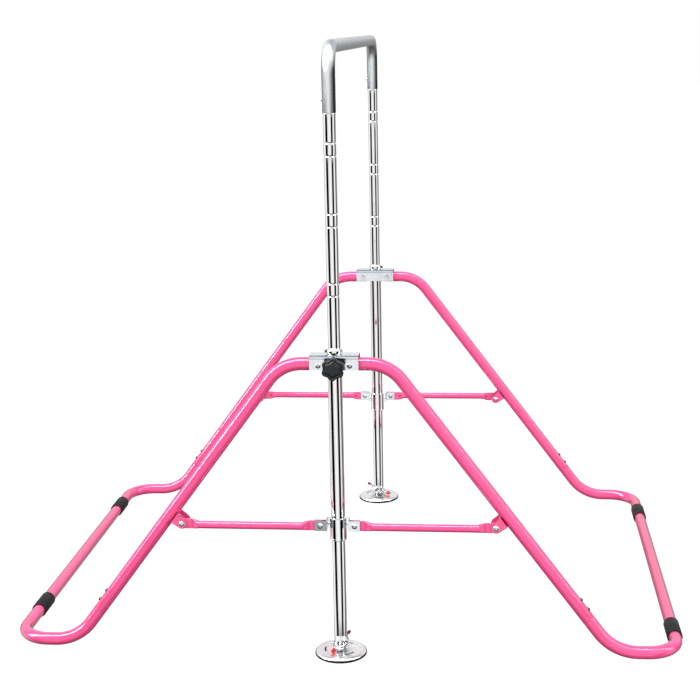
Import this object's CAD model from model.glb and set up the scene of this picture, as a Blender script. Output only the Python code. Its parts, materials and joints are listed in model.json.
import json
import math

import bpy
import numpy as np
from mathutils import Euler, Matrix, Vector

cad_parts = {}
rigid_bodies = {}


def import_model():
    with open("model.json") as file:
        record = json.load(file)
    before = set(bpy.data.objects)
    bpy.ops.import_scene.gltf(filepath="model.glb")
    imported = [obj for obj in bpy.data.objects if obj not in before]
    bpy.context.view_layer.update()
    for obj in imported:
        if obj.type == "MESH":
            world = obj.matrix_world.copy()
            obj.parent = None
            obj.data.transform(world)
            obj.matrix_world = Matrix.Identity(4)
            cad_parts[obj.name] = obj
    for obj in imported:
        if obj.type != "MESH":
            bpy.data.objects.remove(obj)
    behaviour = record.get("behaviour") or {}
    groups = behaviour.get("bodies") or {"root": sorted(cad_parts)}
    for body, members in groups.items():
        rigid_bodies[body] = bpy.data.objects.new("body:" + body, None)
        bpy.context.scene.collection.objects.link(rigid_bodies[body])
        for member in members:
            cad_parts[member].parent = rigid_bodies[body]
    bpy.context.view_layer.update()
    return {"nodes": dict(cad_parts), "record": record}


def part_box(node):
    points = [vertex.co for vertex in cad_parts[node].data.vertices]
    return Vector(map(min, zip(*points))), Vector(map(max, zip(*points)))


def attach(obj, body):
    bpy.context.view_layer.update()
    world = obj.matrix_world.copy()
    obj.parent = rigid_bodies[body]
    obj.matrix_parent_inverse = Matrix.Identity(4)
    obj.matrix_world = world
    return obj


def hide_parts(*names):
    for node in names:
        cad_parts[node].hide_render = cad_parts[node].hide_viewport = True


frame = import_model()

MM = 0.001

# ------------------------------------------------------------------ frame measures
lo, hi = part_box("lower_tube_front")
YF = (lo.y + hi.y) / 2                      # front post axis
lo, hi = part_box("lower_tube_rear")
YR = (lo.y + hi.y) / 2                      # rear post axis
HALF = (YR - YF) / 2
BAR_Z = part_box("handle_bar")[1].z - 0.016    # axis of the bar
BAR_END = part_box("handle_bar")[0].z
BR_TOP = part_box("bracket_front")[1].z
BR_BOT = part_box("bracket_front")[0].z
BR_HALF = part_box("bracket_front")[1].x
POST_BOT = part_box("lower_tube_front")[0].z
UP_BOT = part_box("upper_tube_front")[0].z
UP_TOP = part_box("upper_tube_front")[1].z
RAIL_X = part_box("floor_loop_right")[1].x - 0.016
RAIL_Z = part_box("floor_loop_right")[0].z + 0.016
FOOT_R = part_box("suction_cup_front")[1].x
COL_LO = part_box("collar_outer_front")[0].z
COL_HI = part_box("collar_outer_front")[1].z
PIVOT_X, PIVOT_Z = 0.038, 0.744
BRACE_Z, BRACE_IN, BRACE_OUT = 0.343, 0.042, 0.385
KNOB_Z = 0.741


def side(name):
    return YF if "front" in name else YR


# ------------------------------------------------------------------ mesh helpers
def new_object(name, verts, faces, smooth_angle=35.0):
    me = bpy.data.meshes.new(name)
    me.from_pydata([tuple(v) for v in verts], [], faces)
    me.validate()
    me.update()
    ob = bpy.data.objects.new(name, me)
    bpy.context.scene.collection.objects.link(ob)
    finish_mesh(ob, smooth_angle)
    return ob


def finish_mesh(ob, angle=35.0):
    import bmesh
    bm = bmesh.new()
    bm.from_mesh(ob.data)
    bmesh.ops.recalc_face_normals(bm, faces=bm.faces)
    for f in bm.faces:
        f.smooth = True
    lim = math.radians(angle)
    for e in bm.edges:
        e.smooth = not (len(e.link_faces) == 2 and e.calc_face_angle(0.0) > lim)
    bm.to_mesh(ob.data)
    bm.free()
    ob.data.update()


def lathe(name, profile, seg=96, centre=(0, 0, 0), axis="Z", angle=35.0):
    """Closed profile of (r, h) points turned about an axis through centre."""
    n = len(profile)
    verts, faces = [], []
    ring_of = []
    for r, h in profile:
        if r < 1e-7:
            ring_of.append([len(verts)] * seg)
            verts.append((0.0, 0.0, h))
        else:
            start = len(verts)
            for k in range(seg):
                a = 2 * math.pi * k / seg
                verts.append((r * math.cos(a), r * math.sin(a), h))
            ring_of.append([start + k for k in range(seg)])
    for i in range(n):
        a, b = ring_of[i], ring_of[(i + 1) % n]
        for k in range(seg):
            k2 = (k + 1) % seg
            q = []
            for v in (a[k], a[k2], b[k2], b[k]):
                if v not in q:
                    q.append(v)
            if len(q) >= 3:
                faces.append(q)
    out = []
    c = Vector(centre)
    for x, y, z in verts:
        if axis == "Z":
            p = (x, y, z)
        elif axis == "Y":
            p = (x, z, -y)
        elif axis == "-Y":
            p = (x, -z, y)
        elif axis == "X":
            p = (z, y, -x)
        elif axis == "-X":
            p = (-z, y, x)
        out.append((c.x + p[0], c.y + p[1], c.z + p[2]))
    return new_object(name, out, faces, angle)


def turtle(start, heading, parts, step=3.0, line_step=0.08):
    """Path made of ("s", length) and ("b", radius, degrees, direction to turn toward). Returns points and running lengths."""
    p = np.array(start, float)
    t = np.array(heading, float)
    t /= np.linalg.norm(t)
    pts = [p.copy()]
    for part in parts:
        if part[0] == "s":
            n = max(1, int(math.ceil(part[1] / line_step)))
            for i in range(1, n + 1):
                pts.append(p + t * part[1] * i / n)
            p = p + t * part[1]
        else:
            r, deg, toward = part[1], part[2], np.array(part[3], float)
            toward = toward - t * (toward @ t)
            toward /= np.linalg.norm(toward)
            c = p + toward * r
            n = max(4, int(math.ceil(deg / step)))
            for i in range(1, n + 1):
                a = math.radians(deg) * i / n
                pts.append(c - toward * r * math.cos(a) + t * r * math.sin(a))
            a = math.radians(deg)
            p = pts[-1].copy()
            t = t * math.cos(a) + toward * math.sin(a)
    pts = np.array(pts)
    d = np.r_[0, np.cumsum(np.linalg.norm(np.diff(pts, axis=0), axis=1))]
    return pts, d


def insert(pts, d, at):
    """Adds path points at the running lengths given."""
    want = sorted(set(np.round(np.r_[d, [a for a in at if 0 < a < d[-1]]], 9)))
    keep = [want[0]]
    for w in want[1:]:
        if w - keep[-1] > 1e-5:
            keep.append(w)
    keep = np.array(keep)
    out = np.stack([np.interp(keep, d, pts[:, i]) for i in range(3)], 1)
    return out, keep


def frames(pts):
    t = np.gradient(pts, axis=0)
    # exact tangents at the polyline ends of straight runs
    seg = np.diff(pts, axis=0)
    seg /= np.linalg.norm(seg, axis=1)[:, None]
    t = np.vstack([seg[:1], seg[:-1] + seg[1:], seg[-1:]])
    t /= np.linalg.norm(t, axis=1)[:, None]
    u = np.cross(t[0], [0.0, 0.0, 1.0])
    if np.linalg.norm(u) < 0.1:
        u = np.cross(t[0], [0.0, 1.0, 0.0])
    u /= np.linalg.norm(u)
    us = [u]
    for i in range(1, len(t)):
        v = us[-1] - t[i] * (us[-1] @ t[i])
        us.append(v / np.linalg.norm(v))
    us = np.array(us)
    return t, us, np.cross(t, us)


def tube(name, pts, d, outer, inner, seg=64, angle=35.0):
    """Hollow tube along a path. outer and inner are functions of the running length."""
    t, u, v = frames(pts)
    ang = np.linspace(0, 2 * math.pi, seg, endpoint=False)
    verts, faces = [], []
    for rf in (outer, inner):
        for i in range(len(pts)):
            r = rf(d[i])
            for a in ang:
                verts.append(pts[i] + (u[i] * math.cos(a) + v[i] * math.sin(a)) * r)
    n = len(pts)
    for i in range(n - 1):
        for k in range(seg):
            k2 = (k + 1) % seg
            a, b = i * seg, (i + 1) * seg
            faces.append((a + k, a + k2, b + k2, b + k))
            a, b = (n + i) * seg, (n + i + 1) * seg
            faces.append((a + k2, a + k, b + k, b + k2))
    for k in range(seg):
        k2 = (k + 1) % seg
        faces.append((k2, k, n * seg + k, n * seg + k2))
        a, b = (n - 1) * seg, (2 * n - 1) * seg
        faces.append((a + k, a + k2, b + k2, b + k))
    return new_object(name, verts, faces, angle)


def rod(name, pts, r, seg=20, r_end=None):
    """Solid round rod with softly closed ends, along a path."""
    pts = np.array(pts, float)
    d = np.r_[0, np.cumsum(np.linalg.norm(np.diff(pts, axis=0), axis=1))]
    t, u, v = frames(pts)
    rings = []
    for k in (0.25, 0.55, 0.85):
        rings.append((pts[0] - t[0] * r * (1 - math.sin(math.acos(1 - k))) * -0.0 + t[0] * 0, 0))
    verts, faces = [], []
    ang = np.linspace(0, 2 * math.pi, seg, endpoint=False)
    stations = []
    cap = [(1 - math.cos(a), math.sin(a)) for a in np.linspace(0.0, math.pi / 2, 6)[1:-1]]
    for h, s in cap:
        stations.append((pts[0] - t[0] * r * (1 - h), u[0], v[0], r * s))
    for i in range(len(pts)):
        stations.append((pts[i], u[i], v[i], r))
    for h, s in reversed(cap):
        stations.append((pts[-1] + t[-1] * r * (1 - h), u[-1], v[-1], r * s))
    for p, uu, vv, rr in stations:
        for a in ang:
            verts.append(p + (uu * math.cos(a) + vv * math.sin(a)) * rr)
    n = len(stations)
    for i in range(n - 1):
        for k in range(seg):
            k2 = (k + 1) % seg
            faces.append((i * seg + k, i * seg + k2, (i + 1) * seg + k2, (i + 1) * seg + k))
    verts.append(pts[0] - t[0] * r)
    verts.append(pts[-1] + t[-1] * r)
    s0, s1 = len(verts) - 2, len(verts) - 1
    for k in range(seg):
        k2 = (k + 1) % seg
        faces.append((s0, k2, k))
        faces.append((s1, (n - 1) * seg + k, (n - 1) * seg + k2))
    return new_object(name, verts, faces, 60)


def loft(name, rings, angle=35.0, closed_ends=True):
    """Closed skin over rings of equal point counts; the ends are fanned to their centres."""
    seg = len(rings[0])
    verts = [tuple(p) for r in rings for p in r]
    faces = []
    for i in range(len(rings) - 1):
        for k in range(seg):
            k2 = (k + 1) % seg
            faces.append((i * seg + k, i * seg + k2, (i + 1) * seg + k2, (i + 1) * seg + k))
    if closed_ends:
        for which in (0, len(rings) - 1):
            c = np.mean(rings[which], axis=0)
            verts.append(tuple(c))
            ci = len(verts) - 1
            for k in range(seg):
                k2 = (k + 1) % seg
                a, b = which * seg + k, which * seg + k2
                faces.append((ci, b, a) if which == 0 else (ci, a, b))
    return new_object(name, verts, faces, angle)


def prism(name, outline, depth_axis, d0, d1, angle=30.0):
    """Outline of 2-D points extruded along an axis. Axis X: points are (y, z); axis Y: points are (x, z); axis Z: points are (x, y)."""
    n = len(outline)
    verts, faces = [], []
    for dd in (d0, d1):
        for a, b in outline:
            verts.append({"X": (dd, a, b), "Y": (a, dd, b), "Z": (a, b, dd)}[depth_axis])
    for i in range(n):
        j = (i + 1) % n
        faces.append((i, j, n + j, n + i))
    faces.append(tuple(range(n))[::-1])
    faces.append(tuple(range(n, 2 * n)))
    return new_object(name, verts, faces, angle)


def bevel(ob, width, seg=3, angle=30.0):
    m = ob.modifiers.new("bevel", "BEVEL")
    m.width = width
    m.segments = seg
    m.limit_method = "ANGLE"
    m.angle_limit = math.radians(angle)
    m.harden_normals = False
    m.use_clamp_overlap = True
    return m


def boolean(ob, cutters, op="DIFFERENCE"):
    """Cuts or joins at once and keeps the result as the object's mesh."""
    for c in cutters:
        m = ob.modifiers.new("cut", "BOOLEAN")
        m.operation = op
        m.object = c
        m.solver = "EXACT"
    bpy.context.view_layer.update()
    dg = bpy.context.evaluated_depsgraph_get()
    me = bpy.data.meshes.new_from_object(ob.evaluated_get(dg))
    ob.modifiers.clear()
    old = ob.data
    ob.data = me
    for c in cutters:
        bpy.data.objects.remove(c, do_unlink=True)
    return ob


def apply_mods(ob, angle=35.0):
    bpy.context.view_layer.update()
    dg = bpy.context.evaluated_depsgraph_get()
    me = bpy.data.meshes.new_from_object(ob.evaluated_get(dg))
    ob.modifiers.clear()
    ob.data = me
    finish_mesh(ob, angle)
    return ob


def cyl(name, p0, p1, r, seg=48):
    p0, p1 = np.array(p0, float), np.array(p1, float)
    t = (p1 - p0) / np.linalg.norm(p1 - p0)
    u = np.cross(t, [0, 0, 1.0]) if abs(t[2]) < 0.9 else np.cross(t, [0, 1.0, 0])
    u /= np.linalg.norm(u)
    v = np.cross(t, u)
    verts, faces = [], []
    for p in (p0, p1):
        for k in range(seg):
            a = 2 * math.pi * k / seg
            verts.append(p + (u * math.cos(a) + v * math.sin(a)) * r)
    for k in range(seg):
        k2 = (k + 1) % seg
        faces.append((k, k2, seg + k2, seg + k))
    faces.append(tuple(range(seg))[::-1])
    faces.append(tuple(range(seg, 2 * seg)))
    return new_object(name, verts, faces)


def cut_box(name, a, b):
    (x0, y0, z0), (x1, y1, z1) = a, b
    v = [(x0, y0, z0), (x1, y0, z0), (x1, y1, z0), (x0, y1, z0), (x0, y0, z1), (x1, y0, z1), (x1, y1, z1), (x0, y1, z1)]
    f = [(0, 3, 2, 1), (4, 5, 6, 7), (0, 1, 5, 4), (1, 2, 6, 5), (2, 3, 7, 6), (3, 0, 4, 7)]
    return new_object(name, v, f)


# ------------------------------------------------------------------ materials
def mat(name):
    m = bpy.data.materials.new(name)
    m.use_nodes = True
    nt = m.node_tree
    nt.nodes.clear()
    out = nt.nodes.new("ShaderNodeOutputMaterial")
    bs = nt.nodes.new("ShaderNodeBsdfPrincipled")
    nt.links.new(bs.outputs[0], out.inputs[0])
    return m, nt, bs


def node(nt, kind, **kw):
    n = nt.nodes.new(kind)
    for k, v in kw.items():
        if k.startswith("in_"):
            n.inputs[k[3:].replace("_", " ")].default_value = v
        else:
            setattr(n, k, v)
    return n


def coords(nt, scale=(1, 1, 1)):
    tc = node(nt, "ShaderNodeTexCoord")
    mp = node(nt, "ShaderNodeMapping")
    mp.inputs["Scale"].default_value = scale
    nt.links.new(tc.outputs["Object"], mp.inputs["Vector"])
    return mp.outputs[0]


def noise(nt, vec, scale, detail=2.0, rough=0.5):
    n = node(nt, "ShaderNodeTexNoise")
    n.inputs["Scale"].default_value = scale
    n.inputs["Detail"].default_value = detail
    n.inputs["Roughness"].default_value = rough
    nt.links.new(vec, n.inputs["Vector"])
    return n.outputs["Fac"]


def ramp(nt, fac, stops):
    r = node(nt, "ShaderNodeValToRGB")
    el = r.color_ramp.elements
    while len(el) < len(stops):
        el.new(0.5)
    for e, (p, c) in zip(el, stops):
        e.position = p
        e.color = c if len(c) == 4 else (*c, 1)
    nt.links.new(fac, r.inputs[0])
    return r.outputs["Color"]


def maprange(nt, fac, a, b, c, d):
    m = node(nt, "ShaderNodeMapRange")
    m.inputs[1].default_value, m.inputs[2].default_value = a, b
    m.inputs[3].default_value, m.inputs[4].default_value = c, d
    nt.links.new(fac, m.inputs[0])
    return m.outputs[0]


def bump(nt, h, strength, dist, normal=None):
    b = node(nt, "ShaderNodeBump")
    b.inputs["Strength"].default_value = strength
    b.inputs["Distance"].default_value = dist
    nt.links.new(h, b.inputs["Height"])
    if normal is not None:
        nt.links.new(normal, b.inputs["Normal"])
    return b.outputs[0]


def mixc(nt, fac, a, b, mode="MIX"):
    m = node(nt, "ShaderNodeMix", data_type="RGBA", blend_type=mode)
    if hasattr(fac, "is_linked") or not isinstance(fac, (int, float)):
        nt.links.new(fac, m.inputs[0])
    else:
        m.inputs[0].default_value = fac
    for sock, val in ((6, a), (7, b)):
        if isinstance(val, tuple):
            m.inputs[sock].default_value = val if len(val) == 4 else (*val, 1)
        else:
            nt.links.new(val, m.inputs[sock])
    return m.outputs[2]


def edge_mask(nt, radius, lo_=0.02, hi_=0.25):
    """0 on flat areas, 1 on rounded-over edges."""
    bv = node(nt, "ShaderNodeBevel", samples=4)
    bv.inputs["Radius"].default_value = radius
    ge = node(nt, "ShaderNodeNewGeometry")
    dp = node(nt, "ShaderNodeVectorMath", operation="DOT_PRODUCT")
    nt.links.new(bv.outputs[0], dp.inputs[0])
    nt.links.new(ge.outputs["Normal"], dp.inputs[1])
    return maprange(nt, dp.outputs["Value"], 1 - lo_, 1 - hi_, 0.0, 1.0)


def cavity(nt, dist, lo_, hi_, top):
    """Mask of tight gaps, holes and contact lines: top inside them, 0 in the open."""
    ao = node(nt, "ShaderNodeAmbientOcclusion", samples=6)
    ao.inputs["Distance"].default_value = dist
    return maprange(nt, ao.outputs["AO"], lo_, hi_, top, 0.0)


def rim(nt, a, b_, c, d):
    """Mask from the angle to the viewer: c where the surface faces the viewer, d at its outline."""
    lw = node(nt, "ShaderNodeLayerWeight")
    lw.inputs["Blend"].default_value = 0.5
    return maprange(nt, lw.outputs["Facing"], a, b_, c, d)


def make_pink():
    m, nt, b = mat("pink_powder_coat")
    v = coords(nt)
    big = noise(nt, v, 7.0, 3.0)
    base = ramp(nt, big, [(0.30, (0.83, 0.060, 0.228)), (0.70, (0.89, 0.074, 0.262))])
    fine = noise(nt, v, 260.0, 2.0)
    base = mixc(nt, maprange(nt, fine, 0.35, 0.65, 0.0, 0.16), base, (0.93, 0.11, 0.31))
    edge = edge_mask(nt, 0.0007, 0.03, 0.35)
    wear = node(nt, "ShaderNodeMath", operation="MULTIPLY")
    nt.links.new(edge, wear.inputs[0])
    nt.links.new(maprange(nt, noise(nt, v, 140.0, 4.0, 0.7), 0.45, 0.62, 0.0, 0.5), wear.inputs[1])
    base = mixc(nt, wear.outputs[0], base, (0.96, 0.42, 0.56))
    # the colour coat looks deeper where the line of sight runs along the surface
    base = mixc(nt, rim(nt, 0.52, 0.84, 0.0, 0.92), base, (0.40, 0.016, 0.075))
    base = mixc(nt, cavity(nt, 0.0055, 0.20, 0.78, 0.95), base, (0.05, 0.002, 0.008))
    nt.links.new(base, b.inputs["Base Color"])
    nt.links.new(maprange(nt, fine, 0.3, 0.7, 0.26, 0.36), b.inputs["Roughness"])
    b.inputs["Specular IOR Level"].default_value = 0.5
    b.inputs["Coat Weight"].default_value = 0.8
    b.inputs["Coat Roughness"].default_value = 0.085
    orange = noise(nt, v, 620.0, 2.0, 0.45)
    n1 = bump(nt, orange, 0.05, 0.0002)
    nt.links.new(n1, b.inputs["Normal"])
    nt.links.new(bump(nt, noise(nt, v, 90.0, 1.0), 0.01, 0.0002), b.inputs["Coat Normal"])
    return m


def make_chrome():
    m, nt, b = mat("chrome_tube")
    v = coords(nt)
    b.inputs["Metallic"].default_value = 1.0
    smudge = noise(nt, v, 14.0, 5.0, 0.6)
    col = ramp(nt, smudge, [(0.30, (0.88, 0.88, 0.885)), (0.70, (0.95, 0.95, 0.95))])
    nt.links.new(col, b.inputs["Base Color"])
    streak = noise(nt, coords(nt, (1.0, 1.0, 0.03)), 420.0, 3.0, 0.6)
    r1 = maprange(nt, smudge, 0.35, 0.75, 0.012, 0.035)
    r2 = node(nt, "ShaderNodeMath", operation="ADD")
    nt.links.new(r1, r2.inputs[0])
    nt.links.new(maprange(nt, streak, 0.5, 0.8, 0.0, 0.03), r2.inputs[1])
    nt.links.new(r2.outputs[0], b.inputs["Roughness"])
    nt.links.new(bump(nt, streak, 0.02, 0.00003), b.inputs["Normal"])
    return m


def make_satin():
    m, nt, b = mat("satin_bar")
    v = coords(nt)
    b.inputs["Metallic"].default_value = 1.0
    cloud = noise(nt, v, 18.0, 4.0, 0.6)
    # fine peripheral brushing: fast along the bar, slow round it
    brush_y = noise(nt, coords(nt, (0.06, 1.0, 0.06)), 2600.0, 2.0, 0.6)
    brush_z = noise(nt, coords(nt, (0.06, 0.06, 1.0)), 2600.0, 2.0, 0.6)
    sep = node(nt, "ShaderNodeSeparateXYZ")
    tc = node(nt, "ShaderNodeTexCoord")
    nt.links.new(tc.outputs["Object"], sep.inputs[0])
    top = maprange(nt, sep.outputs["Z"], BAR_Z - 0.06, BAR_Z - 0.03, 0.0, 1.0)
    br = node(nt, "ShaderNodeMix", data_type="FLOAT")
    nt.links.new(top, br.inputs[0])
    nt.links.new(brush_z, br.inputs[2])
    nt.links.new(brush_y, br.inputs[3])
    brush = br.outputs[0]
    col = ramp(nt, cloud, [(0.3, (0.44, 0.47, 0.485)), (0.7, (0.54, 0.57, 0.58))])
    col = mixc(nt, maprange(nt, brush, 0.35, 0.65, 0.0, 0.35), col, (0.66, 0.68, 0.69))
    # the brushing throws a broad light to one side and leaves the other in shade
    gn = node(nt, "ShaderNodeNewGeometry")
    vt_ = node(nt, "ShaderNodeVectorTransform", vector_type="NORMAL", convert_from="WORLD", convert_to="CAMERA")
    nt.links.new(gn.outputs["Normal"], vt_.inputs[0])
    sx_ = node(nt, "ShaderNodeSeparateXYZ")
    nt.links.new(vt_.outputs[0], sx_.inputs[0])
    lobe = ramp(nt, maprange(nt, sx_.outputs["X"], -1.0, 1.0, 0.0, 1.0), [
        (0.0, (0.26,) * 3), (0.10, (0.30,) * 3), (0.20, (0.40,) * 3), (0.28, (0.72,) * 3), (0.35, (1.0,) * 3), (0.46, (1.0,) * 3),
        (0.60, (0.88,) * 3), (0.68, (0.62,) * 3), (0.77, (0.20,) * 3), (0.84, (0.03,) * 3), (0.93, (0.03,) * 3), (1.0, (0.20,) * 3)])
    off_top = maprange(nt, sep.outputs["Z"], BAR_Z - 0.050, BAR_Z - 0.012, 1.0, 0.0)
    shaped = mixc(nt, off_top, (0.60, 0.60, 0.60), lobe)
    col = mixc(nt, 1.0, col, shaped, "MULTIPLY")
    gain_ = node(nt, "ShaderNodeVectorMath", operation="SCALE")
    nt.links.new(col, gain_.inputs[0])
    gain_.inputs["Scale"].default_value = 1.9
    col = gain_.outputs[0]
    nt.links.new(col, b.inputs["Base Color"])
    nt.links.new(maprange(nt, brush, 0.3, 0.7, 0.40, 0.50), b.inputs["Roughness"])
    nt.links.new(bump(nt, brush, 0.10, 0.00004), b.inputs["Normal"])
    return m


def make_zinc(name="zinc_plate", tabs=False):
    m, nt, b = mat(name)
    v = coords(nt)
    b.inputs["Metallic"].default_value = 1.0
    vo = node(nt, "ShaderNodeTexVoronoi", feature="F1")
    vo.inputs["Scale"].default_value = 190.0
    nt.links.new(v, vo.inputs["Vector"])
    sp = node(nt, "ShaderNodeSeparateColor")
    nt.links.new(vo.outputs["Color"], sp.inputs[0])
    cloud = noise(nt, v, 45.0, 5.0, 0.65)
    tint = ramp(nt, cloud, [(0.28, (0.66, 0.73, 0.80)), (0.5, (0.78, 0.83, 0.88)), (0.72, (0.85, 0.87, 0.86))])
    col = mixc(nt, maprange(nt, sp.outputs[0], 0.0, 1.0, 0.0, 0.12), tint, (0.90, 0.94, 0.98))
    # darker line along the sheared edges
    edge = edge_mask(nt, 0.0011, 0.03, 0.3)
    col = mixc(nt, edge, col, (0.16, 0.18, 0.20))
    # the fold over the top shows one dark and one bright band
    ng = node(nt, "ShaderNodeNewGeometry")
    nz_ = node(nt, "ShaderNodeSeparateXYZ")
    nt.links.new(ng.outputs["True Normal"], nz_.inputs[0])
    band = ramp(nt, nz_.outputs["Z"], [(0.0, (1, 1, 1)), (0.50, (1, 1, 1)), (0.54, (0.06, 0.065, 0.07)), (0.955, (0.06, 0.065, 0.07)), (0.985, (1, 1, 1))])
    col = mixc(nt, cavity(nt, 0.004, 0.15, 0.80, 0.85), col, (0.05, 0.055, 0.06))
    if tabs:
        # one tab of the front pair is plated darker
        tcp = node(nt, "ShaderNodeTexCoord")
        sp3 = node(nt, "ShaderNodeSeparateXYZ")
        nt.links.new(tcp.outputs["Object"], sp3.inputs[0])
        left = node(nt, "ShaderNodeMath", operation="MULTIPLY")
        nt.links.new(maprange(nt, sp3.outputs["X"], -0.021, -0.019, 0.75, 0.0), left.inputs[0])
        nt.links.new(maprange(nt, sp3.outputs["Y"], -0.01, 0.01, 1.0, 0.0), left.inputs[1])
        col = mixc(nt, left.outputs[0], col, (0.20, 0.22, 0.22))
    else:
        col = mixc(nt, 1.0, col, band, "MULTIPLY")
        col = mixc(nt, maprange(nt, nz_.outputs["Z"], -0.18, -0.30, 0.0, 0.9), col, (0.04, 0.045, 0.06))
    nt.links.new(col, b.inputs["Base Color"])
    nt.links.new(maprange(nt, sp.outputs[1], 0.0, 1.0, 0.13, 0.20), b.inputs["Roughness"])
    nt.links.new(bump(nt, noise(nt, v, 900.0, 3.0, 0.6), 0.06, 0.00006), b.inputs["Normal"])
    return m


def make_fastener(name="zinc_fastener", deep=1.0):
    m, nt, b = mat(name)
    v = coords(nt)
    b.inputs["Metallic"].default_value = 1.0
    cloud = noise(nt, v, 160.0, 4.0, 0.6)
    col = ramp(nt, cloud, [(0.3, (0.60 * deep, 0.63 * deep, 0.65 * deep)), (0.7, (0.80 * deep, 0.82 * deep, 0.83 * deep))])
    col = mixc(nt, edge_mask(nt, 0.0004, 0.03, 0.3), col, (0.90 * deep, 0.91 * deep, 0.92 * deep))
    col = mixc(nt, rim(nt, 0.40, 0.75, 0.0, 0.9), col, (0.05, 0.052, 0.055))
    # undersides fall into shade, and so do the sockets
    fg = node(nt, "ShaderNodeNewGeometry")
    fz = node(nt, "ShaderNodeSeparateXYZ")
    nt.links.new(fg.outputs["Normal"], fz.inputs[0])
    col = mixc(nt, maprange(nt, fz.outputs["Z"], -0.12, -0.38, 0.0, 0.93), col, (0.03, 0.032, 0.035))
    col = mixc(nt, cavity(nt, 0.003, 0.15, 0.80, 0.9), col, (0.03, 0.032, 0.035))
    nt.links.new(col, b.inputs["Base Color"])
    nt.links.new(maprange(nt, cloud, 0.3, 0.7, 0.09, 0.18), b.inputs["Roughness"])
    nt.links.new(bump(nt, noise(nt, v, 1500.0, 2.0), 0.12, 0.00005), b.inputs["Normal"])
    return m


def make_bright():
    m, nt, b = mat("bright_steel")
    v = coords(nt)
    b.inputs["Metallic"].default_value = 1.0
    # spun rings about each post axis
    tc = node(nt, "ShaderNodeTexCoord")
    sep = node(nt, "ShaderNodeSeparateXYZ")
    nt.links.new(tc.outputs["Object"], sep.inputs[0])
    ay = node(nt, "ShaderNodeMath", operation="ABSOLUTE")
    nt.links.new(sep.outputs["Y"], ay.inputs[0])
    sy = node(nt, "ShaderNodeMath", operation="SUBTRACT")
    nt.links.new(ay.outputs[0], sy.inputs[0])
    sy.inputs[1].default_value = HALF
    cb = node(nt, "ShaderNodeCombineXYZ")
    nt.links.new(sep.outputs["X"], cb.inputs[0])
    nt.links.new(sy.outputs[0], cb.inputs[1])
    ln = node(nt, "ShaderNodeVectorMath", operation="LENGTH")
    nt.links.new(cb.outputs[0], ln.inputs[0])
    cr = node(nt, "ShaderNodeCombineXYZ")
    nt.links.new(ln.outputs["Value"], cr.inputs[0])
    ringn = noise(nt, cr.outputs[0], 2400.0, 3.0, 0.6)
    cloud = noise(nt, v, 40.0, 4.0, 0.6)
    col = ramp(nt, cloud, [(0.3, (0.86, 0.87, 0.88)), (0.7, (0.95, 0.95, 0.96))])
    nt.links.new(col, b.inputs["Base Color"])
    nt.links.new(maprange(nt, ringn, 0.3, 0.7, 0.26, 0.34), b.inputs["Roughness"])
    nt.links.new(bump(nt, ringn, 0.03, 0.00003), b.inputs["Normal"])
    return m


def make_plastic():
    m, nt, b = mat("black_plastic")
    v = coords(nt)
    fine = noise(nt, v, 1300.0, 3.0, 0.6)
    col = ramp(nt, noise(nt, v, 60.0, 3.0), [(0.3, (0.007, 0.008, 0.009)), (0.7, (0.013, 0.014, 0.016))])
    col = mixc(nt, edge_mask(nt, 0.0012, 0.02, 0.3), col, (0.040, 0.043, 0.047))
    nt.links.new(col, b.inputs["Base Color"])
    b.inputs["Specular IOR Level"].default_value = 0.4
    nt.links.new(maprange(nt, fine, 0.3, 0.7, 0.36, 0.52), b.inputs["Roughness"])
    nt.links.new(bump(nt, fine, 0.35, 0.00012), b.inputs["Normal"])
    return m


def make_rubber():
    m, nt, b = mat("black_rubber")
    v = coords(nt)
    fine = noise(nt, v, 900.0, 3.0, 0.6)
    dust = noise(nt, v, 35.0, 4.0, 0.65)
    col = ramp(nt, dust, [(0.35, (0.005, 0.005, 0.006)), (0.8, (0.013, 0.013, 0.014))])
    col = mixc(nt, edge_mask(nt, 0.001, 0.03, 0.35), col, (0.030, 0.030, 0.031))
    b.inputs["Specular IOR Level"].default_value = 0.22
    nt.links.new(col, b.inputs["Base Color"])
    nt.links.new(maprange(nt, fine, 0.3, 0.7, 0.62, 0.82), b.inputs["Roughness"])
    b.inputs["Sheen Weight"].default_value = 0.03
    b.inputs["Sheen Roughness"].default_value = 0.4
    nt.links.new(bump(nt, fine, 0.3, 0.0001), b.inputs["Normal"])
    return m


def make_red():
    m, nt, b = mat("red_dip")
    v = coords(nt)
    sw = noise(nt, v, 110.0, 3.0)
    col = ramp(nt, sw, [(0.3, (0.50, 0.002, 0.005)), (0.7, (0.62, 0.004, 0.009))])
    # the grip that stands up under the tube is the darker one
    rt = node(nt, "ShaderNodeTexCoord")
    rs = node(nt, "ShaderNodeSeparateXYZ")
    nt.links.new(rt.outputs["Object"], rs.inputs[0])
    col = mixc(nt, maprange(nt, rs.outputs["Z"], 0.030, 0.034, 0.0, 0.8), col, (0.10, 0.004, 0.012))
    nt.links.new(col, b.inputs["Base Color"])
    nt.links.new(maprange(nt, sw, 0.3, 0.7, 0.20, 0.32), b.inputs["Roughness"])
    b.inputs["Coat Weight"].default_value = 0.12
    b.inputs["Coat Roughness"].default_value = 0.12
    b.inputs["Specular IOR Level"].default_value = 0.25
    b.inputs["Subsurface Weight"].default_value = 0.05
    b.inputs["Subsurface Radius"].default_value = (0.002, 0.0006, 0.0006)
    nt.links.new(bump(nt, noise(nt, v, 300.0, 1.0), 0.12, 0.0003), b.inputs["Normal"])
    return m


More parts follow.
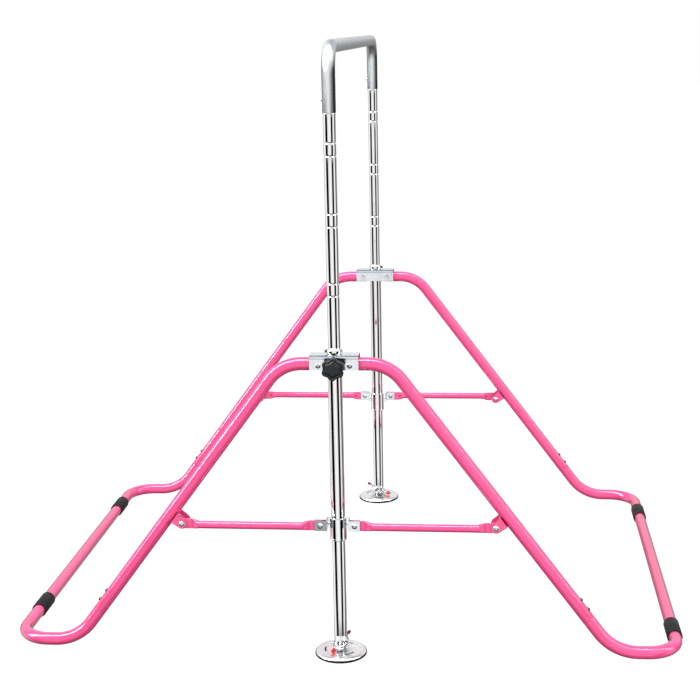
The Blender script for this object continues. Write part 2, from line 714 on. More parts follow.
def make_black_screw():
    m, nt, b = mat("black_screw")
    v = coords(nt)
    b.inputs["Metallic"].default_value = 0.6
    c = noise(nt, v, 300.0, 3.0)
    col = ramp(nt, c, [(0.3, (0.012, 0.012, 0.014)), (0.7, (0.035, 0.036, 0.04))])
    col = mixc(nt, edge_mask(nt, 0.0004, 0.03, 0.3), col, (0.12, 0.12, 0.13))
    nt.links.new(col, b.inputs["Base Color"])
    nt.links.new(maprange(nt, c, 0.3, 0.7, 0.25, 0.42), b.inputs["Roughness"])
    nt.links.new(bump(nt, c, 0.15, 0.00005), b.inputs["Normal"])
    return m


M = {
    "pink_powder_coat": make_pink(), "chrome_tube": make_chrome(), "satin_bar": make_satin(),
    "zinc_plate": make_zinc(), "zinc_fastener": make_fastener(), "bright_steel": make_bright(),
    "black_plastic": make_plastic(), "black_rubber": make_rubber(), "red_dip": make_red(),
    "black_screw": make_black_screw(),
}
TAB_PLATE = make_zinc("zinc_plate_tabs", True)
DARK_SCREW = make_fastener("zinc_fastener_dark", 0.12)
SLOT = {s["node"]: s["material_slot"] for s in frame["record"]["subparts"]}
BODY = {n: b for b, ns in frame["record"]["behaviour"]["bodies"].items() for n in ns}


def dress(ob, slot_name):
    ob.data.materials.clear()
    ob.data.materials.append(M[slot_name])


def place(ob, cad, *more, slot_name=None):
    """The piece stands for CAD node cad (and more) and rides on its body."""
    dress(ob, slot_name or SLOT[cad])
    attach(ob, BODY[cad])
    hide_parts(cad, *more)
    return ob


# every carried-over CAD node: procedural finish, smooth rounds and softened edges
for name, ob in frame["nodes"].items():
    ob.data.materials.clear()
    ob.data.materials.append(M[SLOT[name]])
    for p in ob.data.polygons:
        p.use_smooth = True
    if name.startswith(("collar_tabs", "foot_hub")):
        ob.data.materials.clear()
        ob.data.materials.append(TAB_PLATE)
    if name.startswith(("brace_ears", "collar_tabs", "foot_hub")):
        bv = ob.modifiers.new("soft_edge", "BEVEL")
        bv.width, bv.segments, bv.limit_method, bv.angle_limit, bv.harden_normals = 0.0004, 2, "ANGLE", math.radians(40), False
        wn = ob.modifiers.new("flat_faces", "WEIGHTED_NORMAL")
        wn.mode, wn.weight, wn.keep_sharp = "FACE_AREA", 100, True
        continue
    sp_ = ob.modifiers.new("crease", "EDGE_SPLIT")
    sp_.split_angle, sp_.use_edge_sharp = math.radians(32), False
    if name.startswith("joint_screws"):
        ob.data.materials.clear()
        ob.data.materials.append(DARK_SCREW)

# ------------------------------------------------------------------ pink leg tubes and floor loops
S, C = 0.8, 0.6                             # leg slope: 3 across, 4 down
LEG_R, LEG_T = 0.016, 0.0015
SEAM_Z = 0.105
CORNER = 0.130
SEAM_X = CORNER + (PIVOT_Z - SEAM_Z) * 0.75
LEG_X0 = PIVOT_X - 0.011
BEND_DEG = math.degrees(math.atan2(4, 3))
FOOT_X = CORNER + (PIVOT_Z - RAIL_Z) * 0.75
LOOP_LEN = (SEAM_Z - RAIL_Z) / S - 0.060
CORNER_R = 0.080


def rounded_end(s, total, r, e=0.0007):
    """Tube radius with its end edges rounded over."""
    q = min(s, total - s)
    return r if q >= e else r - e + math.sqrt(max(0.0, e * e - (e - q) ** 2))


END_STEPS = [0.0001, 0.00025, 0.00045, 0.0007]
for sy in ("front", "rear"):
    for sx in ("left", "right"):
        g = 1 if sx == "right" else -1
        parts = [("s", CORNER - 0.050 - LEG_X0), ("b", 0.100, BEND_DEG, (0, 0, -1)), ("s", (PIVOT_Z - SEAM_Z) / S - 0.050)]
        pts, d = turtle((g * LEG_X0, side(sy), PIVOT_Z), (g, 0, 0), parts)
        T = d[-1]
        pts, d = insert(pts, d, END_STEPS + [T - e for e in END_STEPS] + [T - 0.075])
        name = f"leg_tube_{sy}_{sx}"
        ob = tube(f"{name}_skin", pts, d, lambda s: rounded_end(s, T, LEG_R), lambda s: LEG_R - LEG_T, 72)
        cutters = [cyl("cut", (g * PIVOT_X, side(sy) - 0.03, PIVOT_Z), (g * PIVOT_X, side(sy) + 0.03, PIVOT_Z), 0.00405)]
        boolean(ob, cutters)
        finish_mesh(ob, 40)
        place(ob, name)

for sx in ("left", "right"):
    g = 1 if sx == "right" else -1
    run = RAIL_X - CORNER_R - FOOT_X - 0.060
    parts = [("s", 0.070), ("s", 0.0006), ("s", LOOP_LEN - 0.0006), ("b", 0.120, BEND_DEG, (0, 0, 1)), ("s", run), ("b", CORNER_R, 90, (0, 1, 0)),
             ("s", 2 * HALF - 2 * CORNER_R), ("b", CORNER_R, 90, (-g, 0, 0)), ("s", run), ("b", 0.120, BEND_DEG, (0, 0, 1)),
             ("s", LOOP_LEN - 0.0006), ("s", 0.0006), ("s", 0.070)]
    start = (g * (SEAM_X - 0.070 * C), YF, SEAM_Z + 0.070 * S)
    pts, d = turtle(start, (g * C, 0, -S), parts)
    T = d[-1]
    pts, d = insert(pts, d, [0.0701, 0.0703, T - 0.0701, T - 0.0703, 0.0005, T - 0.0005])

    def outer(s, T=T):
        q = min(s, T - s)
        if q < 0.0004:
            return 0.0140
        if q < 0.07005:
            return 0.01445
        if q < 0.0702:
            return 0.01530
        if q < 0.0705:
            return 0.01575
        return LEG_R

    ob = tube(f"floor_loop_{sx}_skin", pts, d, outer, lambda s, T=T: 0.01305 if min(s, T - s) < 0.0735 else 0.0145, 72, 30)
    place(ob, f"floor_loop_{sx}")

# ------------------------------------------------------------------ bar and posts
straight = BAR_Z - 0.060 - BAR_END
pts, d = turtle((0, YF, BAR_END), (0, 0, 1), [("s", straight), ("b", 0.060, 90, (0, 1, 0)), ("s", 2 * HALF - 0.120), ("b", 0.060, 90, (0, 0, -1)), ("s", straight)], step=2.5)
T = d[-1]
pts, d = insert(pts, d, END_STEPS + [T - e for e in END_STEPS])
ob = tube("handle_bar_skin", pts, d, lambda s: rounded_end(s, T, 0.016), lambda s: 0.0145, 80)
boolean(ob, [cyl("cut", (-0.03, y, BAR_END + 0.031), (-0.006, y, BAR_END + 0.031), 0.00215) for y in (YF, YR)])
finish_mesh(ob, 40)
place(ob, "handle_bar")

GROOVES = [1.253 - k * 0.1643 + q for k in (3, 2, 1, 0) for q in (-0.015, 0.015)]


def groove_r(z, r, wall):
    for g in GROOVES:
        u = (z - g) / 0.0055 + 0.5
        if 0 < u < 1:
            return r - 0.0013 * math.sin(u * math.pi) ** 2
    return r


for sy in ("front", "rear"):
    zs = [UP_BOT + 0.0008]
    for g in GROOVES:
        zs += [g - 0.00275 + 0.0055 * i / 14 for i in range(15)]
    top = BAR_END
    prof = [(0.0143, UP_BOT)] + [(groove_r(z, 0.0149, 0), z) for z in zs]
    prof += [(0.0149, top - 0.0016), (0.01478, top - 0.0007), (0.0145, top - 0.0002), (0.01442, top - 0.0001), (0.01442, UP_TOP - 0.002), (0.0138, UP_TOP), (0.0130, UP_TOP), (0.0130, top - 0.0001), (0.0135, top - 0.003)]
    prof += [(groove_r(z, 0.0149, 0) - 0.0014, z) for z in reversed(zs[1:])] + [(0.0135, UP_BOT)]
    ob = lathe(f"upper_tube_{sy}_skin", prof, 96, (0, side(sy), 0), angle=50)
    boolean(ob, [cyl("cut", (-0.03, side(sy), BAR_END + 0.031), (-0.006, side(sy), BAR_END + 0.031), 0.00215)])
    finish_mesh(ob, 50)
    place(ob, f"upper_tube_{sy}")

    o = -1 if sy == "front" else 1
    e = 0.0005
    prof = [(0.015, POST_BOT), (0.0162 - e, POST_BOT), (0.0162 - 0.3 * e, POST_BOT + 0.3 * e), (0.0162, POST_BOT + e), (0.0162, 0.15), (0.0162, 0.28), (0.0162, BR_TOP), (0.015, BR_TOP)]
    ob = lathe(f"lower_tube_{sy}_skin", prof, 96, (0, side(sy), 0))
    boolean(ob, [cyl("cut", (0, side(sy) + o * 0.010, KNOB_Z), (0, side(sy) + o * 0.020, KNOB_Z), 0.0046)])
    finish_mesh(ob, 40)
    place(ob, f"lower_tube_{sy}")

    sl_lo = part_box(f"outer_sleeve_{sy}")[0].z
    prof = [(0.01625, sl_lo), (0.0175 - e, sl_lo), (0.0175 - 0.3 * e, sl_lo + 0.3 * e), (0.0175, sl_lo + e), (0.0175, 0.45), (0.0175, 0.6), (0.0175, BR_TOP), (0.01625, BR_TOP)]
    ob = lathe(f"outer_sleeve_{sy}_skin", prof, 96, (0, side(sy), 0))
    boss = cyl("boss", (0, side(sy) + o * 0.0165, KNOB_Z), (0, side(sy) + o * 0.0193, KNOB_Z), 0.008)
    boolean(ob, [boss], "UNION")
    boolean(ob, [cyl("cut", (0, side(sy) + o * 0.010, KNOB_Z), (0, side(sy) + o * 0.022, KNOB_Z), 0.00405)])
    finish_mesh(ob, 40)
    place(ob, f"outer_sleeve_{sy}")

# beaded caps, one piece for both posts as in the CAD node
caps = []
for y in (YF, YR):
    z0 = BR_TOP
    prof = [(0.015, z0), (0.0178, z0), (0.0181, z0 + 0.0004)]
    prof += [(0.0171 + 0.0022 * math.cos(a), z0 + 0.007 + 0.0065 * math.sin(a)) for a in np.linspace(-1.12, 1.12, 15)]
    prof += [(0.0172, z0 + 0.0139), (0.0165, z0 + 0.0147), (0.0160, z0 + 0.0150), (0.0153, z0 + 0.0149), (0.0150, z0 + 0.0145)]
    caps.append(lathe("cap", prof, 96, (0, y, 0), angle=60))
import bmesh


def join(name, obs):
    bpy.ops.object.select_all(action="DESELECT")
    for o_ in obs:
        o_.select_set(True)
    bpy.context.view_layer.objects.active = obs[0]
    bpy.ops.object.join()
    obs[0].name = name
    obs[0].data.name = name
    return obs[0]


place(join("sleeve_caps_skin", caps), "sleeve_caps")

# ------------------------------------------------------------------ brackets: folded channels
for sy in ("front", "rear"):
    y0, o = side(sy), (-1 if sy == "front" else 1)
    t, r_out = 0.0025, 0.0052
    w, h = 0.022, BR_TOP - BR_BOT
    # the fold stands a little proud of the side plates
    wf = w + 0.0007
    outl = [(w, -h), (w, -r_out - 0.0030), (wf, -r_out - 0.0018), (wf, -r_out)]
    outl += [(wf - r_out + r_out * math.cos(a), -r_out + r_out * math.sin(a)) for a in np.linspace(0, math.pi / 2, 9)[1:]]
    outl += [(-wf + r_out - r_out * math.sin(a), -r_out + r_out * math.cos(a)) for a in np.linspace(0, math.pi / 2, 9)]
    outl += [(-wf, -r_out - 0.0018), (-w, -r_out - 0.0030), (-w, -h), (-w + t, -h), (-w + t, -0.0032)]
    outl += [(-w + t + 0.0017 - 0.0017 * math.cos(a), -0.0032 + 0.0017 * math.sin(a)) for a in np.linspace(0, math.pi / 2, 5)[1:]]
    outl += [(w - t - 0.0017 + 0.0017 * math.sin(a), -0.0032 + 0.0017 * math.cos(a)) for a in np.linspace(0, math.pi / 2, 5)]
    outl += [(w - t, -h)]
    ob = prism("bracket", [(y0 + a, BR_TOP + b) for a, b in outl], "X", -BR_HALF, BR_HALF)
    cuts = [cyl("cut", (0, y0, BR_TOP - 0.005), (0, y0, BR_TOP + 0.005), 0.01755, 72),
            cyl("cut", (0, y0 + o * 0.016, KNOB_Z), (0, y0 + o * 0.026, KNOB_Z), 0.0052),
            cut_box("cut", (-0.0052, min(y0 + o * 0.016, y0 + o * 0.026), BR_BOT - 0.004), (0.0052, max(y0 + o * 0.016, y0 + o * 0.026), KNOB_Z))]
    for i in (-1, 1):
        cuts.append(cyl("cut", (i * PIVOT_X, y0 - 0.03, PIVOT_Z), (i * PIVOT_X, y0 + 0.03, PIVOT_Z), 0.00405))
    boolean(ob, cuts)
    bevel(ob, 0.0005, 2, 40)
    apply_mods(ob, 35)
    wn = ob.modifiers.new("flat_faces", "WEIGHTED_NORMAL")
    wn.mode, wn.weight, wn.keep_sharp = "FACE_AREA", 100, True
    ob.name = f"bracket_{sy}_skin"
    place(ob, f"bracket_{sy}")

# ------------------------------------------------------------------ star knobs
def knob_mesh(name, y_post, o):
    lobes, seg = 6, 216
    R0, A = 0.0261, 0.0024

    def outline(a, shrink):
        c = math.cos(lobes * (a - math.radians(4)))
        f = (0.5 + 0.5 * c) ** 0.9
        return R0 - A + 2 * A * f - shrink

    # (shrink from the lobed edge, share of the lobing kept, height from the post axis)
    rows = [(0.0150, 0.15, 0.0275), (0.0135, 0.2, 0.0272), (0.0126, 0.2, 0.0276), (0.0120, 0.25, 0.0300), (0.0112, 0.3, 0.0335), (0.0060, 0.7, 0.0342), (0.0018, 1.0, 0.0352),
            (0.0006, 1.0, 0.0364), (0.0, 1.0, 0.0382), (0.0, 1.0, 0.0430), (0.0, 1.0, 0.0478), (0.0005, 1.0, 0.0494), (0.0016, 1.0, 0.0506), (0.0030, 1.0, 0.0512),
            (0.0044, 1.0, 0.0512), (0.0052, 0.95, 0.0508), (0.0060, 0.9, 0.0500), (0.0068, 0.85, 0.0499), (0.0076, 0.8, 0.0504), (0.0088, 0.7, 0.0516), (0.0104, 0.5, 0.0526), (0.0140, 0.3, 0.0531), (0.0190, 0.1, 0.0533)]
    verts, faces = [], []
    for shrink, keep, h in rows:
        for k in range(seg):
            a = 2 * math.pi * k / seg
            r = outline(a, 0.0) * keep + (R0 - 0.0005) * (1 - keep) - shrink
            verts.append((r * math.sin(a), y_post + o * h, KNOB_Z + r * math.cos(a)))
    n = len(rows)
    for i in range(n - 1):
        for k in range(seg):
            k2 = (k + 1) % seg
            faces.append((i * seg + k, i * seg + k2, (i + 1) * seg + k2, (i + 1) * seg + k))
    # front centre and back bore
    verts.append((0, y_post + o * 0.0534, KNOB_Z))
    ci = len(verts) - 1
    bore = []
    for h in (0.0275, 0.0440):
        st = len(verts)
        for k in range(seg):
            a = 2 * math.pi * k / seg
            verts.append((0.004 * math.sin(a), y_post + o * h, KNOB_Z + 0.004 * math.cos(a)))
        bore.append(st)
    verts.append((0, y_post + o * 0.0440, KNOB_Z))
    cb = len(verts) - 1
    for k in range(seg):
        k2 = (k + 1) % seg
        faces.append(((n - 1) * seg + k, (n - 1) * seg + k2, ci))
        faces.append((k2, k, bore[0] + k, bore[0] + k2))
        faces.append((bore[0] + k2, bore[0] + k, bore[1] + k, bore[1] + k2))
        faces.append((bore[1] + k, cb, bore[1] + k2))
    return new_object(name, verts, faces, 50)


place(knob_mesh("knob_front_skin", YF, -1), "knob_front")
place(knob_mesh("knob_rear_skin", YR, 1), "knob_rear")

# ------------------------------------------------------------------ pressed foot discs with their arc slots
def arc_block(name, c, r0, r1, a0, a1, z0, z1, n=24):
    """Ring sector between two radii, two angles in degrees and two heights."""
    v, f = [], []
    for k in range(n + 1):
        a = math.radians(a0 + (a1 - a0) * k / n)
        for r, z in ((r0, z0), (r1, z0), (r1, z1), (r0, z1)):
            v.append((c[0] + r * math.cos(a), c[1] + r * math.sin(a), z))
    for k in range(n):
        p_, q_ = 4 * k, 4 * k + 4
        for i in range(4):
            j = (i + 1) % 4
            f.append((p_ + i, q_ + i, q_ + j, p_ + j))
    f += [(0, 1, 2, 3), (4 * n + 3, 4 * n + 2, 4 * n + 1, 4 * n)]
    return new_object(name, v, f)


FR = 0.0635
for sy, az in (("front", 252.0), ("rear", -22.0)):
    y0 = side(sy)
    under = [(5.06, 17.0), (11, 17.0), (14, 15.2), (20, 12.6), (30, 10.6), (44, 9.6), (52, 9.4), (57.5, 8.6), (61.5, 6.2), (62.3, 4.4)]
    over = [(63.3, 4.4), (63.5, 4.7), (63.5, 6.2), (63.2, 6.8), (62.3, 8.0), (60.8, 9.3), (58.9, 10.2), (55.5, 10.9), (52, 11.2), (48, 11.35), (44, 11.45),
            (40, 11.6), (35, 12.0), (30, 12.6), (25, 13.5), (20.6, 14.7), (17.5, 16.0), (15, 17.5), (13.4, 18.5), (12, 19.0), (5.06, 19.0)]
    ob = lathe("dish", [(r / 1000, z / 1000) for r, z in under + over], 144, (0, y0, 0), "Z", 35)
    boolean(ob, [arc_block("cut", (0, y0), 0.037, 0.0412, az + 35 + k * 120, az + 77 + k * 120, 0.004, 0.020) for k in range(3)])
    finish_mesh(ob, 35)
    ob.name = f"foot_dish_{sy}_skin"
    place(ob, f"foot_dish_{sy}")

# ------------------------------------------------------------------ braces: tubes pressed flat at both ends
BR_R = 0.0095
FLAT0, FLAT_T = 0.0175, 0.005
LB = BRACE_OUT - BRACE_IN


def brace_ring(s, L, n=48):
    """Section of the brace at distance s from its inner pivot: (offset outward from the leg plane, height) points."""
    q = s if s <= L / 2 else L - s
    if q < 0:                                # rounded tongue beyond the pivot
        k = 1.0
        hz = math.sqrt(max(0.0, 0.0128 ** 2 - q * q))
    elif q < 0.023:
        k, hz = 1.0, 0.0128
    else:
        x = min(1.0, (q - 0.023) / 0.024)
        k = 1 - (x * x * (3 - 2 * x))
        hz = BR_R + (0.0128 - BR_R) * k
    ty = FLAT_T / 2 * k + BR_R * (1 - k)     # half thickness
    cy = FLAT0 + ty                          # inner face stays in one plane
    out = []
    p = 2.0 + 4.0 * k                        # round to flat superellipse
    if q < 0:
        p = 6.0
    for i in range(n):
        a = 2 * math.pi * i / n
        c, s_ = math.cos(a), math.sin(a)
        out.append((cy + ty * math.copysign(abs(c) ** (2 / p), c), hz * math.copysign(abs(s_) ** (2 / p), s_)))
    return out


for sy in ("front", "rear"):
    for sx in ("left", "right"):
        g, o, y0 = (1 if sx == "right" else -1), (-1 if sy == "front" else 1), side(sy)
        st = [-0.0128 * math.cos(a) for a in np.linspace(0.18, math.pi / 2, 9)]
        st += list(np.linspace(0.004, 0.023, 4)) + list(np.linspace(0.0245, 0.047, 16)) + [0.09, 0.13, LB / 2]
        st = st + [LB - s for s in reversed(st[:-1])]
        rings = []
        for s in st:
            rings.append([(g * (BRACE_IN + s), y0 + o * a, BRACE_Z + b) for a, b in brace_ring(s, LB)])
        name = f"brace_{sy}_{sx}"
        ob = loft(f"{name}_skin", rings, 38)
        cuts = [cyl("cut", (g * BRACE_IN, y0 + o * 0.010, BRACE_Z), (g * BRACE_IN, y0 + o * 0.030, BRACE_Z), 0.00306),
                cyl("cut", (g * BRACE_OUT, y0 + o * 0.010, BRACE_Z), (g * BRACE_OUT, y0 + o * 0.030, BRACE_Z), 0.0031)]
        for x in (BRACE_IN + 0.031, BRACE_OUT - 0.031):
            cuts.append(cyl("cut", (g * x, y0 + o * 0.010, BRACE_Z), (g * x, y0 + o * (FLAT0 + 0.0042), BRACE_Z), 0.0029))
        boolean(ob, cuts)
        finish_mesh(ob, 38)
        place(ob, name)

# ------------------------------------------------------------------ brace ears: forked plates on the legs, and the rivets through them
EAR_B = math.radians(36.86989764584402)
EAR_D = (CORNER + (PIVOT_Z - BRACE_Z) * 0.75 - BRACE_OUT) * 0.8      # from the rivet to the leg axis


def ear_plate(y0_, y1_, x1_, rr=0.0128, hw=0.014):
    """Plate lying in local X and Z with a round end about the rivet."""
    pts = [(rr * math.cos(a), rr * math.sin(a)) for a in np.linspace(math.radians(94), math.radians(266), 22)]
    pts += [(0.0, -rr), (x1_, -hw), (x1_, hw), (0.0, rr)]
    return prism("ear", pts, "Y", y0_, y1_)


for sx in ("left", "right"):
    g = 1 if sx == "right" else -1
    both = []
    for sy in ("front", "rear"):
        o, y0 = (-1 if sy == "front" else 1), side(sy)
        x1 = EAR_D - LEG_R + 0.0010
        ob = ear_plate(0.0229, 0.0254, x1 + 0.0009)
        more = [ear_plate(0.0138, 0.0170, x1), ear_plate(-0.0170, -0.0138, x1),
                cut_box("web", (EAR_D - LEG_R - 0.0012, -0.0170, -0.014), (EAR_D - LEG_R + 0.0030, 0.0254, 0.014))]
        boolean(ob, more, "UNION")
        boolean(ob, [cyl("cut", (EAR_D, 0, -0.04), (EAR_D, 0, 0.04), LEG_R + 0.00002, 96), cyl("cut", (0, -0.03, 0), (0, 0.03, 0), 0.0031, 40)])
        bevel(ob, 0.0006, 3, 40)
        apply_mods(ob, 35)
        u, v_, w_ = Vector((g * math.cos(EAR_B), 0, math.sin(EAR_B))), Vector((0, o, 0)), Vector((-g * math.sin(EAR_B), 0, math.cos(EAR_B)))
        base_ = Vector((g * BRACE_OUT, y0, BRACE_Z))
        for vt_ in ob.data.vertices:
            c = vt_.co.copy()
            vt_.co = base_ + u * c.x + v_ * c.y + w_ * c.z
        if Matrix((u, v_, w_)).determinant() < 0:
            ob.data.flip_normals()
        finish_mesh(ob, 35)
        both.append(ob)
        # the brace's half of the rivet: shank, flat washer and domed head in front of the cover plate
        prof = [(0.0, 0.0175), (0.00305, 0.0175), (0.00305, 0.02545), (0.0076, 0.02545), (0.0078, 0.0256), (0.0078, 0.0261), (0.0076, 0.0263), (0.0066, 0.0263)]
        prof += [(0.0066 * math.cos(a), 0.0264 + 0.0034 * math.sin(a)) for a in np.linspace(0, math.pi / 2, 12)[:-1]] + [(0.0, 0.0298)]
        rv = lathe(f"brace_rivet_{sy}_{sx}_skin", prof, 48, (g * BRACE_OUT, y0, BRACE_Z), "Y" if o > 0 else "-Y", 40)
        place(rv, f"brace_rivet_{sy}_{sx}")
    ears = join(f"brace_ears_{sx}_skin", both)
    wn = ears.modifiers.new("flat_faces", "WEIGHTED_NORMAL")
    wn.mode, wn.weight, wn.keep_sharp = "FACE_AREA", 100, True
    place(ears, f"brace_ears_{sx}")

# ------------------------------------------------------------------ rubber floor sleeves
for sx in ("left", "right"):
    g = 1 if sx == "right" else -1
    blo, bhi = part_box(f"floor_sleeves_{sx}")
    half_len = 0.041
    obs = []
    for yc in (blo.y + half_len, bhi.y - half_len):
        prof = [(0.01602, -half_len + 0.0008), (0.0166, -half_len)]
        prof += [(0.0180, -half_len), (0.0190, -half_len + 0.0004), (0.0195, -half_len + 0.0013)]
        prof += [(0.0195, -half_len + 0.0050), (0.0192, -half_len + 0.0056), (0.0192, -half_len + 0.0066), (0.0195, -half_len + 0.0072)]
        prof += [(0.0195, half_len - 0.0072), (0.0192, half_len - 0.0066), (0.0192, half_len - 0.0056), (0.0195, half_len - 0.0050)]
        prof += [(0.0195, half_len - 0.0013), (0.0190, half_len - 0.0004), (0.0180, half_len), (0.0166, half_len), (0.01602, half_len - 0.0008)]
        obs.append(lathe("pad", prof, 80, (g * RAIL_X, yc, RAIL_Z), "Y", 40))
    place(join(f"floor_sleeves_{sx}_skin", obs), f"floor_sleeves_{sx}")

# ------------------------------------------------------------------ camera, light, floor
cam = bpy.data.cameras.new("camera")
cam_ob = bpy.data.objects.new("camera", cam)
bpy.context.scene.collection.objects.link(cam_ob)
R = Euler([math.radians(a) for a in (-12.898250, 1.119592, 5.649726)], "XYZ").to_matrix()
right, fwd, up = R @ Vector((1, 0, 0)), R @ Vector((0, 1, 0)), R @ Vector((0, 0, 1))
mw = Matrix((right, up, -fwd)).transposed().to_4x4()
mw.translation = Vector((0.375790, -3.871820, 1.530828))
cam_ob.matrix_world = mw
cam.sensor_width = 36.0
cam.lens = 36 * 1417.969 / 700
cam.clip_start, cam.clip_end = 0.05, 60
bpy.context.scene.camera = cam_ob
bpy.context.scene.view_settings.view_transform = "Standard"

# floor
fl = new_object("floor", [(-30, -30, 0), (30, -30, 0), (30, 30, 0), (-30, 30, 0)], [(0, 1, 2, 3)])
fm, nt, b = mat("floor_paper")
v = coords(nt)
nt.links.new(ramp(nt, noise(nt, v, 3.0, 3.0), [(0.3, (0.90, 0.90, 0.90)), (0.7, (0.93, 0.93, 0.93))]), b.inputs["Base Color"])
b.inputs["Roughness"].default_value = 0.9
b.inputs["Specular IOR Level"].default_value = 0.1
# lit from below like a light table, as the camera sees it: the shadows stay faint
glow = node(nt, "ShaderNodeEmission")
glow.inputs[1].default_value = 1.12
lpf = node(nt, "ShaderNodeLightPath")
gf = node(nt, "ShaderNodeMath", operation="MULTIPLY")
nt.links.new(lpf.outputs["Is Camera Ray"], gf.inputs[0])
gf.inputs[1].default_value = 0.84
gm = node(nt, "ShaderNodeMixShader")
nt.links.new(gf.outputs[0], gm.inputs[0])
nt.links.new(b.outputs[0], gm.inputs[1])
nt.links.new(glow.outputs[0], gm.inputs[2])
fo = [n for n in nt.nodes if n.type == "OUTPUT_MATERIAL"][0]
nt.links.new(gm.outputs[0], fo.inputs[0])
fl.data.materials.append(fm)
fl.visible_glossy = False
fl.visible_diffuse = False
# the posts stay put when the legs fold, so the loops swing below them: the floor goes down with the loops
# (the leg hinges are at x 0.038, z 0.744)
fold_dx, fold_dz = RAIL_X - 0.038, 0.744 - RAIL_Z
drv = fl.driver_add("location", 2).driver
drv.type = "SCRIPTED"
dv = drv.variables.new()
dv.name = "q"
dv.type = "TRANSFORMS"
dv.targets[0].id = bpy.data.objects["floor_loop_left_skin"].parent
dv.targets[0].transform_type = "ROT_Y"
dv.targets[0].transform_space = "WORLD_SPACE"
drv.expression = f"-({fold_dx:.6f} * abs(sin(q)) + {fold_dz:.6f} * (cos(q) - 1))"

# world: a photographer's tent. Reflections see two dark flags, a lit arch overhead and a pale floor;
# everything is laid out from the camera's own heading, so each view gets the same studio.
world = bpy.data.worlds.new("tent")
bpy.context.scene.world = world
world.use_nodes = True
nt = world.node_tree
nt.nodes.clear()
out = nt.nodes.new("ShaderNodeOutputWorld")
lp = nt.nodes.new("ShaderNodeLightPath")
tc = nt.nodes.new("ShaderNodeTexCoord")


def vmath(op, a_, b_=None):
    n = nt.nodes.new("ShaderNodeVectorMath")
    n.operation = op
    for i, x in enumerate((a_, b_)):
        if x is None:
            continue
        if isinstance(x, tuple):
            n.inputs[i].default_value = x
        else:
            nt.links.new(x, n.inputs[i])
    return n.outputs["Value"] if op in ("DOT_PRODUCT", "LENGTH") else n.outputs[0]


def fmath(op, a_, b_=None):
    n = nt.nodes.new("ShaderNodeMath")
    n.operation = op
    for i, x in enumerate((a_, b_)):
        if x is None:
            continue
        if isinstance(x, (int, float)):
            n.inputs[i].default_value = x
        else:
            nt.links.new(x, n.inputs[i])
    return n.outputs[0]


vt = nt.nodes.new("ShaderNodeVectorTransform")
vt.vector_type, vt.convert_from, vt.convert_to = "VECTOR", "CAMERA", "WORLD"
vt.inputs[0].default_value = (1.0, 0.0, 0.0)
cam_right = vt.outputs[0]
cam_back = vmath("CROSS_PRODUCT", cam_right, (0.0, 0.0, 1.0))
ray = tc.outputs["Generated"]
rx, rb = vmath("DOT_PRODUCT", ray, cam_right), vmath("DOT_PRODUCT", ray, cam_back)
szw = nt.nodes.new("ShaderNodeSeparateXYZ")
nt.links.new(ray, szw.inputs[0])
rz = szw.outputs["Z"]
mr = maprange(nt, fmath("ARCTAN2", rx, rb), -math.pi, math.pi, 0.0, 1.0)   # 0.5 straight back to the camera


def a2f(deg):
    return (deg + 180) / 360


# brightness round the horizon, by degrees from straight back to the camera, left negative
stops = [(-180, 0.34), (-142, 0.22), (-131, 1.0), (-86, 1.0), (-78, 0.0), (-41, 0.0), (-34, 0.8), (-14, 1.0), (0, 1.0),
         (14, 0.97), (23, 0.75), (29, 0.0), (57, 0.0), (64, 1.0), (89, 1.0), (97, 0.05), (113, 0.05), (124, 0.36), (150, 0.42), (180, 0.34)]
strip = ramp(nt, mr, [(a2f(d), (v_,) * 3) for d, v_ in stops])
# by height above the horizon band
sky_g = ramp(nt, maprange(nt, rz, -1.0, 1.0, 0.0, 1.0), [
    (0.0, (0.02,) * 3), (0.20, (0.05,) * 3), (0.27, (0.50,) * 3), (0.52, (0.60,) * 3), (0.60, (0.22,) * 3), (0.80, (0.10,) * 3), (0.92, (0.10,) * 3), (1.0, (0.25,) * 3)])
up = nt.nodes.new("ShaderNodeMix")
up.data_type = "RGBA"
nt.links.new(maprange(nt, rz, 0.04, 0.22, 0.0, 1.0), up.inputs[0])
low = nt.nodes.new("ShaderNodeMix")
low.data_type = "RGBA"
nt.links.new(maprange(nt, rz, -0.80, -0.55, 1.0, 0.0), low.inputs[0])
nt.links.new(strip, low.inputs[6])
nt.links.new(sky_g, low.inputs[7])
nt.links.new(low.outputs[2], up.inputs[6])
nt.links.new(sky_g, up.inputs[7])
# white wall beyond the object, above the horizon
wall = fmath("MULTIPLY", maprange(nt, rb, -0.20, -0.45, 0.0, 1.0), maprange(nt, rz, 0.06, 0.16, 0.0, 1.0))
wall = fmath("MULTIPLY", wall, maprange(nt, rz, 0.62, 0.80, 1.0, 0.0))
wm = nt.nodes.new("ShaderNodeMix")
wm.data_type = "RGBA"
nt.links.new(wall, wm.inputs[0])
nt.links.new(up.outputs[2], wm.inputs[6])
wm.inputs[7].default_value = (0.92, 0.92, 0.92, 1)
# paler wall behind the camera, above the horizon
back = fmath("MULTIPLY", maprange(nt, rb, 0.40, 0.55, 0.0, 1.0), maprange(nt, rz, 0.02, 0.12, 0.0, 1.0))
bm_ = nt.nodes.new("ShaderNodeMix")
bm_.data_type = "RGBA"
nt.links.new(back, bm_.inputs[0])
nt.links.new(wm.outputs[2], bm_.inputs[6])
bm_.inputs[7].default_value = (0.82, 0.83, 0.84, 1)
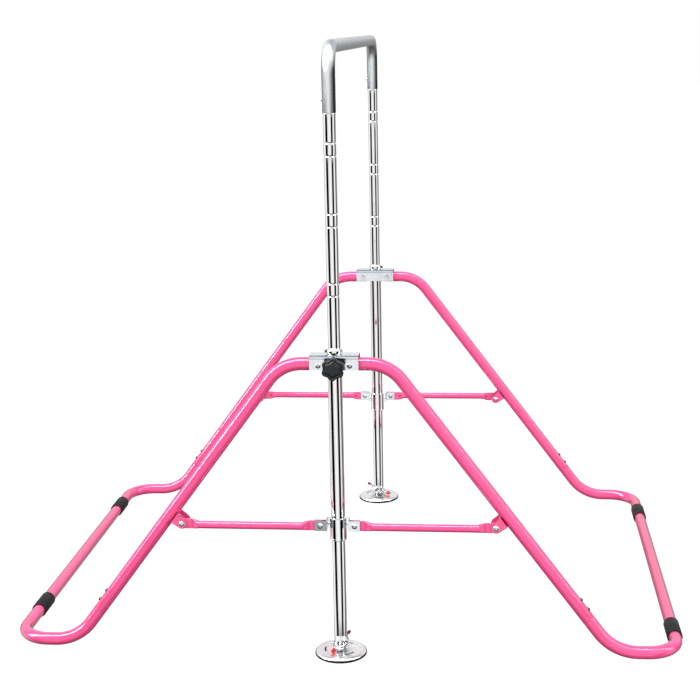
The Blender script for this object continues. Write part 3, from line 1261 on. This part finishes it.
# the arch: a strip light from left to right over the top, a little toward the camera
arch = fmath("MULTIPLY", maprange(nt, rb, -0.02, 0.06, 0.0, 1.0), maprange(nt, rb, 0.28, 0.38, 1.0, 0.0))
arch = fmath("MULTIPLY", arch, maprange(nt, rz, 0.10, 0.26, 0.0, 1.0))
am = nt.nodes.new("ShaderNodeMix")
am.data_type = "RGBA"
nt.links.new(arch, am.inputs[0])
nt.links.new(bm_.outputs[2], am.inputs[6])
am.inputs[7].default_value = (1, 1, 1, 1)
# stronger on the left
gain = fmath("ADD", 1.0, fmath("MULTIPLY", arch, maprange(nt, rx, -0.15, 0.25, 20.0, 4.5)))
bg_gloss = nt.nodes.new("ShaderNodeBackground")
nt.links.new(gain, bg_gloss.inputs[1])
nt.links.new(am.outputs[2], bg_gloss.inputs[0])
# diffuse light: from above, dim below
sky = ramp(nt, maprange(nt, rz, -1.0, 1.0, 0.0, 1.0), [(0.0, (0.46,) * 3), (0.42, (0.60,) * 3), (1.0, (1.0,) * 3)])
bg_diff = nt.nodes.new("ShaderNodeBackground")
bg_diff.inputs[1].default_value = 0.84
nt.links.new(sky, bg_diff.inputs[0])
bg_cam = nt.nodes.new("ShaderNodeBackground")
bg_cam.inputs[0].default_value = (1, 1, 1, 1)
bg_cam.inputs[1].default_value = 1.0
m1 = nt.nodes.new("ShaderNodeMixShader")
nt.links.new(lp.outputs["Is Glossy Ray"], m1.inputs[0])
nt.links.new(bg_diff.outputs[0], m1.inputs[1])
nt.links.new(bg_gloss.outputs[0], m1.inputs[2])
m2 = nt.nodes.new("ShaderNodeMixShader")
nt.links.new(lp.outputs["Is Camera Ray"], m2.inputs[0])
nt.links.new(m1.outputs[0], m2.inputs[1])
nt.links.new(bg_cam.outputs[0], m2.inputs[2])
nt.links.new(m2.outputs[0], out.inputs[0])


def area(name, loc, target, size, power, glossy=True):
    L = bpy.data.lights.new(name, "AREA")
    L.shape = "RECTANGLE"
    L.size, L.size_y = size
    L.energy = power
    ob_ = bpy.data.objects.new(name, L)
    bpy.context.scene.collection.objects.link(ob_)
    ob_.location = loc
    ob_.rotation_mode = "QUATERNION"
    ob_.rotation_quaternion = (Vector(target) - Vector(loc)).to_track_quat("-Z", "Y")
    ob_.visible_camera = False
    ob_.visible_glossy = glossy
    return ob_


area("key", (-2.6, -2.4, 3.6), (0, 0, 0.5), (1.6, 1.6), 165, False)
area("fill", (3.0, -2.8, 1.6), (0, 0, 0.5), (2.4, 2.4), 78, False)
area("top", (0.3, 0.6, 4.2), (0, 0, 0.0), (2.4, 2.4), 70, False)
